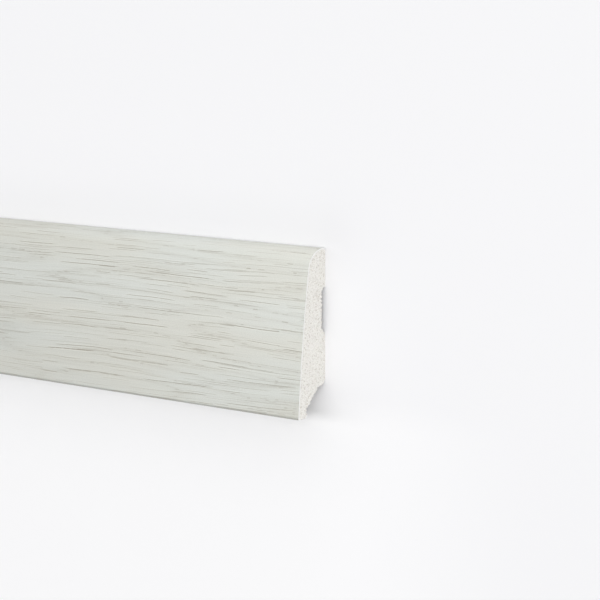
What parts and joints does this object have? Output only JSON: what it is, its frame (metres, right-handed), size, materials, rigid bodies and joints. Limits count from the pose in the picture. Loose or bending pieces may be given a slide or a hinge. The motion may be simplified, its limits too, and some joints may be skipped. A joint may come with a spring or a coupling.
{
  "type": "plastic skirting board",
  "caption": "Straight length of plastic skirting board with a foamed core, relieved back and cable gap, wrapped in a pale oak-look decor film.",
  "frame": {"origin": "middle of the board's length and height, on the plane of its back pads", "axes": "+X along the board, +Y from the foot edge to the top edge, +Z out of the decor face"},
  "size_m": [2.4, 0.06, 0.0146],
  "materials": {
    "foam_core": "off-white foamed plastic, fine cells on the sawn ends",
    "decor_film": "satin printed film, pale grey oak grain along the board"
  },
  "bodies": {
    "root": {"foam_core": "foam_core", "decor_film": "decor_film"}
  },
  "joints": []
}
